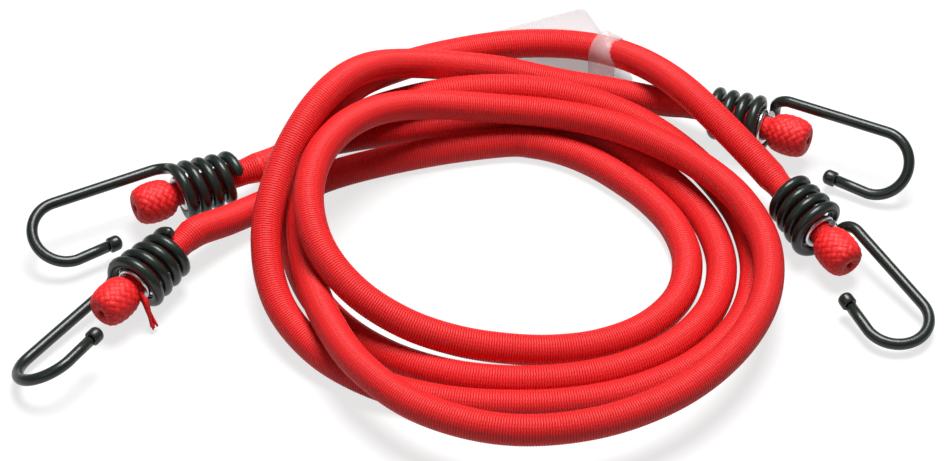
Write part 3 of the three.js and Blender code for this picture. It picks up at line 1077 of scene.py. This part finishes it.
@dataclass
class WireHook:
    """A coated wire hook in its end's frame: conical coil, shank, bend, arm and tip cap; millimetres."""

    cord: ElasticCord
    side: Side
    finishes: Finishes
    wire: float = 3.8
    turns: float = 4.25
    pitch: float = 4.8
    small_radius: float = 6.8
    flare: float = 2.0
    shank_offset: float = 10.8
    shank_end: float = 40.5
    shank_knee: float = 5.5
    knee_reach: float = 3.0
    knee_lead: float = 28.0
    bend_radius: float = 10.8
    arm_length: float = 11.0
    arm_closing: float = 1.0
    bare_wire: float = 2.7
    cap_diameter: float = 5.2
    cap_clearance: float = 0.3
    cap_bore: float = 3.2
    cap_dome: float = 1.8
    cap_lip: float = 0.35
    cap_lip_height: float = 0.4
    cap_dome_step: int = 15
    cap_sides: int = 24
    cap_weld: float = 1e-6
    end_rounding: tuple[float, float] = (0.55, 0.97)
    coil_steps: int = 28
    knee_steps: int = 12
    shank_steps: int = 5
    bend_steps: int = 32
    sides: int = 16

    def coil_points(self) -> list[Vector]:
        """The conical coil.

        Returns:
            The points from its narrow end.
        """
        points = []
        lead = math.radians(self.knee_lead)
        count = round(self.turns * self.coil_steps)
        for step in range(count + 1):
            share = step / count
            angle = 2 * math.pi * self.turns * (share - 1) - lead
            radius = self.small_radius + self.flare * share
            place = self.turns * self.pitch * (share - 1)
            points.append(Vector((place, radius * math.cos(angle), radius * math.sin(angle))))
        return points

    def knee_points(self, leave: Vector) -> list[Vector]:
        """The sharp turn from the coil into the shank.

        Args:
            leave: The coil's last point.

        Returns:
            The points after it, up to the shank.
        """
        lead = math.radians(self.knee_lead)
        first = leave + Vector((0.0, math.sin(lead), math.cos(lead))) * self.knee_reach
        stop = Vector((self.shank_knee, self.shank_offset, 0.0))
        second = stop - Vector((self.knee_reach, 0.0, 0.0))
        points = []
        for step in range(1, self.knee_steps + 1):
            t = step / self.knee_steps
            start_pull = leave * (1 - t) ** 3 + first * 3 * t * (1 - t) ** 2
            points.append(start_pull + second * 3 * t * t * (1 - t) + stop * t ** 3)
        return points

    def arm(self) -> tuple[Vector, Vector]:
        """The hook's short arm.

        Returns:
            The arm's end and the direction that it points in.
        """
        start = Vector((self.shank_end, self.shank_offset - 2 * self.bend_radius, 0.0))
        toward = Vector((-self.arm_length, self.arm_closing, 0.0)).normalized()
        return start + toward * self.arm_length, toward

    def wire_points(self) -> list[Vector]:
        """The whole wire's centreline.

        Returns:
            The points from the coil's narrow end to the tip.
        """
        points = self.coil_points()
        points += self.knee_points(points[-1])
        shank = self.shank_end - self.shank_knee
        for step in range(1, self.shank_steps):
            place = self.shank_knee + shank * step / self.shank_steps
            points.append(Vector((place, self.shank_offset, 0.0)))
        for step in range(self.bend_steps + 1):
            angle = math.pi / 2 - math.pi * step / self.bend_steps
            points.append(Vector((
                self.shank_end + self.bend_radius * math.cos(angle),
                self.shank_offset - self.bend_radius + self.bend_radius * math.sin(angle),
                0.0,
            )))
        end, toward = self.arm()
        points += [end - toward * self.arm_length / 2, end]
        return points

    def build(self) -> list[bpy.types.Object]:
        """Builds the wire and its cap.

        Returns:
            The two pieces.
        """
        end = self.cord.lay.ends[self.side]
        frame_here = self.cord.end_frame(self.side, end.roll)
        body = f"hook_{self.cord.lay.label}_{self.side.value}"
        node = f"{self.cord.lay.name}_{self.side.value}_hook"
        points = self.wire_points()
        radii = [self.wire / 2] * len(points)
        for index, share in enumerate(self.end_rounding):
            radii[index] = self.wire / 2 * share
        tip, toward = self.arm()
        points += [tip + toward * self.cap_clearance, tip + toward * self.cap_bore]
        radii += [self.bare_wire / 2, self.bare_wire / 2]
        world = [frame_here @ (point * MM) for point in points]
        tube = SweptTube(f"{node}_coated_wire", self.sides, level=False)
        wire_mesh = tube.mesh(hoops_along(world, radii))
        wire = place_piece(tube.name, wire_mesh, self.finishes.wire, body)
        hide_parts(node)
        cap_mesh = self.cap_mesh(f"{node}_vinyl_cap", frame_here)
        cap = place_piece(cap_mesh.name, cap_mesh, self.finishes.cap, body)
        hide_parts(f"{node}_cap")
        return [wire, cap]

    def cap_mesh(self, name: str, frame_here: Matrix) -> bpy.types.Mesh:
        """The tip's cap, a domed cup spun about the arm.

        Args:
            name: The mesh's name.
            frame_here: The hook's frame.

        Returns:
            The cap's mesh.
        """
        bore = self.bare_wire / 2 + self.cap_clearance
        outside = self.cap_diameter / 2
        rim = 2 * self.cap_clearance
        bottom = self.cap_bore + self.cap_clearance
        profile = [(0.0, bottom), (bore, bottom), (bore, rim)]
        profile += [(outside - self.cap_lip, rim), (outside, rim + self.cap_lip_height)]
        for angle in range(0, 90, self.cap_dome_step):
            turn = math.radians(angle)
            profile.append((outside * math.cos(turn), bottom + self.cap_dome * math.sin(turn)))
        profile.append((0.0, bottom + self.cap_dome))
        shape = bmesh.new()
        verts = [shape.verts.new((radius * MM, 0.0, height * MM)) for radius, height in profile]
        edges = [shape.edges.new(pair) for pair in zip(verts, verts[1:])]
        bmesh.ops.spin(
            shape, geom=verts + edges, cent=(0, 0, 0), axis=(0, 0, 1), angle=2 * math.pi,
            steps=self.cap_sides, use_merge=True,
        )
        bmesh.ops.remove_doubles(shape, verts=shape.verts, dist=self.cap_weld)
        bmesh.ops.recalc_face_normals(shape, faces=shape.faces)
        fix_order(shape.verts, [vert.co for vert in shape.verts])
        fix_order(shape.faces, [face.calc_center_median() for face in shape.faces])
        tip, toward = self.arm()
        swing = UP.rotation_difference(toward).to_matrix().to_4x4()
        on_tip = frame_here @ Matrix.Translation(tip * MM) @ swing
        bmesh.ops.transform(shape, matrix=on_tip, verts=shape.verts)
        for face in shape.faces:
            face.smooth = True
        return close_mesh(shape, name)


@dataclass
class CrimpRing:
    """A steel wire ring closed on the cord's neck; millimetres."""

    cord: ElasticCord
    side: Side
    finishes: Finishes
    wire: float = 1.9
    clearance: float = 0.3
    turns: float = 1.15
    pitch: float = 2.4
    start: float = -2.2
    steps_per_turn: int = 32
    sides: int = 12

    def build(self) -> bpy.types.Object:
        """Builds the ring.

        Returns:
            The piece.
        """
        frame_here = self.cord.end_frame(self.side, 0.0)
        radius = self.cord.neck / 2 + self.clearance + self.wire / 2
        count = round(self.turns * self.steps_per_turn)
        world = []
        for step in range(count + 1):
            turn = self.turns * step / count
            angle = 2 * math.pi * turn
            place = self.start + self.pitch * turn
            point = Vector((place, radius * math.cos(angle), radius * math.sin(angle)))
            world.append(frame_here @ (point * MM))
        hoops = hoops_along(world, [self.wire / 2] * len(world))
        node = f"{self.cord.lay.name}_{self.side.value}_crimp"
        tube = SweptTube(f"{node}_ring", self.sides, level=False)
        mesh = tube.mesh(hoops)
        piece = place_piece(tube.name, mesh, self.finishes.zinc, ROOT_BODY)
        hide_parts(node)
        return piece


@dataclass
class FilmTag:
    """A bare film tag under the back strand, with a strap over the cord; millimetres."""

    cord: ElasticCord
    finishes: Finishes
    length: float = 44.0
    width: float = 40.0
    film: float = 0.3
    lift: float = 0.2
    corner: float = 3.0
    cad_film: float = 0.5
    angle: float = 22.5
    side_edge: float = 0.8
    front_edge: float = 2.1
    strap: float = 6.0
    strap_clearance: float = 1.3
    strap_flare: float = 5.0
    corner_steps: int = 5
    arch_steps: int = 16

    def panel(self, shape: bmesh.types.BMesh) -> None:
        """Adds the flat panel.

        Args:
            shape: The tag's bmesh.
        """
        made = bmesh.ops.create_grid(shape, x_segments=1, y_segments=1, size=0.5)
        verts = made["verts"]
        bmesh.ops.scale(shape, vec=(self.width * MM, self.length * MM, 1.0), verts=verts)
        bmesh.ops.bevel(
            shape, geom=verts, offset=self.corner * MM, offset_type="OFFSET", affect="VERTICES",
            segments=self.corner_steps, profile=0.5, material=-1,
        )
        outside = self.cord.diameter / 2 + self.strap_clearance + self.cad_film
        across = outside + self.side_edge - self.width / 2
        back = self.length / 2 - outside - self.front_edge
        turn = Matrix.Rotation(math.radians(self.angle), 4, "Z")
        strap_place = self.cord.lay.tail_out[1]
        centre = self.cord.spot((strap_place[0], strap_place[1], self.lift))
        shift = Matrix.Translation(Vector((across, back, 0.0)) * MM)
        bmesh.ops.transform(shape, matrix=Matrix.Translation(centre) @ turn @ shift, verts=shape.verts)

    def strap_over(self, shape: bmesh.types.BMesh) -> None:
        """Adds the strap that stands on the panel and passes over the cord.

        Args:
            shape: The tag's bmesh.
        """
        before, place, after = (Vector(point) for point in self.cord.lay.tail_out[:3])
        heading = math.atan2(after.y - before.y, after.x - before.x)
        inside = self.cord.diameter / 2 + self.strap_clearance
        arch = [(inside, self.lift)]
        for step in range(self.arch_steps + 1):
            turn = math.pi * step / self.arch_steps
            arch.append((inside * math.cos(turn), place.z + inside * math.sin(turn)))
        arch.append((-inside, self.lift))
        half = self.strap / 2
        under_cord = Matrix.Translation(self.cord.spot((place.x, place.y, 0)))
        frame_here = under_cord @ Matrix.Rotation(heading, 4, "Z")
        first = [shape.verts.new((end * MM, arch[0][0] * MM, arch[0][1] * MM)) for end in (-half, half)]
        made = list(first)
        edge = shape.edges.new(first)
        for here, ahead in zip(arch, arch[1:]):
            grown = bmesh.ops.extrude_edge_only(shape, edges=[edge])["geom"]
            fresh = [item for item in grown if isinstance(item, bmesh.types.BMVert)]
            edges = [item for item in grown if isinstance(item, bmesh.types.BMEdge)]
            edge = next(item for item in edges if all(vert in fresh for vert in item.verts))
            move = Vector((0.0, (ahead[0] - here[0]) * MM, (ahead[1] - here[1]) * MM))
            bmesh.ops.translate(shape, vec=move, verts=fresh)
            made += fresh
        for vert in made:
            if vert.co.x > 0:
                vert.co.x += self.strap_flare * (inside * MM - vert.co.y) / (2 * inside)
        bmesh.ops.transform(shape, matrix=frame_here, verts=made)

    def build(self) -> None:
        """Builds the tag."""
        shape = bmesh.new()
        self.panel(shape)
        self.strap_over(shape)
        bmesh.ops.recalc_face_normals(shape, faces=shape.faces)
        for face in shape.faces:
            face.smooth = True
        mesh = close_mesh(shape, "hang_tag_film")
        piece = place_piece("hang_tag_film", mesh, self.finishes.film, ROOT_BODY)
        wall = piece.modifiers.new("film", "SOLIDIFY")
        wall.thickness = self.film * MM
        wall.offset = 0.0
        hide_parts("hang_tag")


@dataclass
class FrayedYarns:
    """Loose sheath yarns that hang from the neck beside one crimp; millimetres."""

    cord: ElasticCord
    side: Side
    finishes: Finishes
    count: int = 12
    yarn: float = 1.1
    root_place: float = 1.2
    root_radius: float = 4.0
    clear_place: float = 3.0
    clear_radius: float = 8.4
    sink: float = 8.0
    fan: float = 30.0
    reach_forward: float = 2.6
    forward_spread: float = 1.2
    lean_along: float = 1.1
    wander: float = 0.5
    tip_height: float = 0.7
    wave_pace: float = 2.3
    lean_pace: float = 1.7
    straight_share: float = 0.3
    droop: float = 0.8
    taper: float = 0.4
    steps: int = 12
    sides: int = 6

    def strand(self, number: int) -> list[Vector]:
        """One yarn's line, out of the neck and down toward the floor.

        Args:
            number: Which yarn.

        Returns:
            The points from the neck to the tip.
        """
        axis = self.cord.direction(self.side)
        down = (axis * axis.z - UP).normalized()
        front = axis.cross(down)
        if front.y > 0:
            front.negate()
        spread = number / (self.count - 1) - 0.5
        turn = math.radians(self.sink + self.fan * spread)
        out = front * math.cos(turn) + down * math.sin(turn)
        wave = math.sin(self.wave_pace * number)
        root = self.cord.on_end(self.side, self.root_place) + out * self.root_radius * MM
        clear = self.cord.on_end(self.side, self.clear_place + self.wander * wave)
        clear = clear + out * self.clear_radius * MM
        drop = clear.z - (self.tip_height + self.wander * (1.0 + wave)) * MM
        lean = axis * (self.lean_along * math.sin(self.lean_pace * number)) * MM
        lean = lean + front * (self.reach_forward + self.forward_spread * wave) * MM
        points = []
        for step in range(self.steps + 1):
            share = step / self.steps
            if share <= self.straight_share:
                points.append(root.lerp(clear, share / self.straight_share))
            else:
                fall = (share - self.straight_share) / (1.0 - self.straight_share)
                points.append(clear - UP * drop * fall ** self.droop + lean * fall)
        return points

    def build(self) -> bpy.types.Object:
        """Builds the tuft as one piece.

        Returns:
            The piece.
        """
        name = f"{self.cord.lay.name}_{self.side.value}_frayed_yarns"
        radii = [self.yarn / 2 * (1.0 - self.taper * step / self.steps) for step in range(self.steps + 1)]
        whole = bmesh.new()
        for number in range(self.count):
            hoops = hoops_along(self.strand(number), radii)
            yarn_mesh = SweptTube("yarn", self.sides, level=False).mesh(hoops)
            whole.from_mesh(yarn_mesh)
            bpy.data.meshes.remove(yarn_mesh)
        mesh = close_mesh(whole, name)
        return place_piece(name, mesh, self.finishes.loose_yarn, ROOT_BODY)


@dataclass(frozen=True)
class SoftLamp:
    """A round area light that faces the object: its place and width in metres and its power in watts."""

    name: str
    place: tuple[float, float, float]
    size: float
    power: float

    def hang(self) -> None:
        """Adds the light to the scene."""
        light = bpy.data.lights.new(self.name, "AREA")
        light.shape = "DISK"
        light.size = self.size
        light.energy = self.power
        lamp = bpy.data.objects.new(self.name, light)
        lamp.location = self.place
        lamp.rotation_euler = (-Vector(self.place)).to_track_quat("-Z", "Y").to_euler()
        bpy.context.scene.collection.objects.link(lamp)


@dataclass
class Studio:
    """Pale floor, soft light and the camera."""

    key: SoftLamp = SoftLamp("key_light", (0.1, 0.38, 1.54), 0.9, 42.0)
    fill: SoftLamp = SoftLamp("front_fill", (-0.7, -1.0, 1.2), 1.0, 2.0)
    ambient: float = 0.1
    floor_half: float = 3.0
    floor_drop: float = 0.0003
    floor_bounce: Colour = shade(0.34, 0.34, 0.34)
    floor_seen: Colour = shade(0.92, 0.92, 0.92)
    floor_glow: float = 0.74
    white: Colour = shade(1.0, 1.0, 1.0)
    sensor: float = 36.0
    width_px: int = 945
    focal_px: float = 3450.0
    elevation: float = 43.0
    distance: float = 1.15
    clip_start: float = 0.01
    aim: tuple[float, float, float] = (-0.00134, -0.0014, 0.0)

    def floor(self) -> None:
        """Adds the floor, white to the camera and still taking shadow."""
        shape = bmesh.new()
        bmesh.ops.create_grid(shape, x_segments=1, y_segments=1, size=self.floor_half)
        bmesh.ops.translate(shape, vec=(0.0, 0.0, -self.floor_drop), verts=shape.verts)
        mesh = close_mesh(shape, "studio_floor")
        ground = bpy.data.objects.new("studio_floor", mesh)
        bpy.context.scene.collection.objects.link(ground)
        sheet = NodeSheet("pale_floor")
        path = sheet.node("ShaderNodeLightPath", {}, {})
        seen = Signal(sheet, path.outputs["Is Camera Ray"])
        seen = seen.larger(Signal(sheet, path.outputs["Is Glossy Ray"]))
        seen = seen.larger(Signal(sheet, path.outputs["Is Transmission Ray"]))
        tone = sheet.mix(seen, self.floor_bounce, self.floor_seen)
        matt = sheet.node("ShaderNodeBsdfDiffuse", {}, {"Color": tone}).outputs[0]
        glow = sheet.node("ShaderNodeEmission", {}, {"Color": self.white, "Strength": 1.0}).outputs[0]
        mixed = sheet.node("ShaderNodeMixShader", {}, {0: seen * self.floor_glow, 1: matt, 2: glow})
        sheet.node("ShaderNodeOutputMaterial", {}, {"Surface": mixed.outputs[0]})
        mesh.materials.append(sheet.material)

    def build(self) -> None:
        """Sets the stage."""
        scene = bpy.context.scene
        scene.view_settings.view_transform = "Standard"
        self.floor()
        self.key.hang()
        self.fill.hang()
        world = bpy.data.worlds.new("studio_world")
        world.use_nodes = True
        sky = world.node_tree.nodes["Background"]
        sky.inputs["Color"].default_value = self.white
        sky.inputs["Strength"].default_value = self.ambient
        scene.world = world
        lens = bpy.data.cameras.new("photo_camera")
        lens.sensor_width = self.sensor
        lens.lens = self.sensor * self.focal_px / self.width_px
        lens.clip_start = self.clip_start
        camera = bpy.data.objects.new("photo_camera", lens)
        tilt = math.radians(self.elevation)
        offset = Vector((0.0, -math.cos(tilt), math.sin(tilt))) * self.distance
        camera.location = Vector(self.aim) + offset
        camera.rotation_euler = (math.pi / 2 - tilt, 0.0, 0.0)
        scene.collection.objects.link(camera)
        scene.camera = camera


@dataclass
class CordPair:
    """The two cords and everything on them."""

    finishes: Finishes

    def build(self) -> None:
        """Builds both cords, their ends and the tag."""
        for lay in (CORD_ONE, CORD_TWO):
            cord = ElasticCord(lay, self.finishes)
            sheath, core, line = cord.build()
            fittings = [core]
            for side in Side:
                fittings += WireHook(cord, side, self.finishes).build()
                fittings.append(CrimpRing(cord, side, self.finishes).build())
            if lay is CORD_ONE:
                fittings.append(FrayedYarns(cord, Side.LEFT, self.finishes).build())
                FilmTag(cord, self.finishes).build()
            run = sum((ahead - here).length for here, ahead in zip(line, line[1:]))
            cord.diameter * MM
            LOG.info("%s is %.0f mm long", lay.name, run / MM)


def main() -> None:
    """Builds the studio and the cords."""
    logging.basicConfig(level=logging.INFO, format="%(message)s")
    Studio().build()
    CordPair(Finishes.make()).build()


if __name__ == "__main__":
    main()
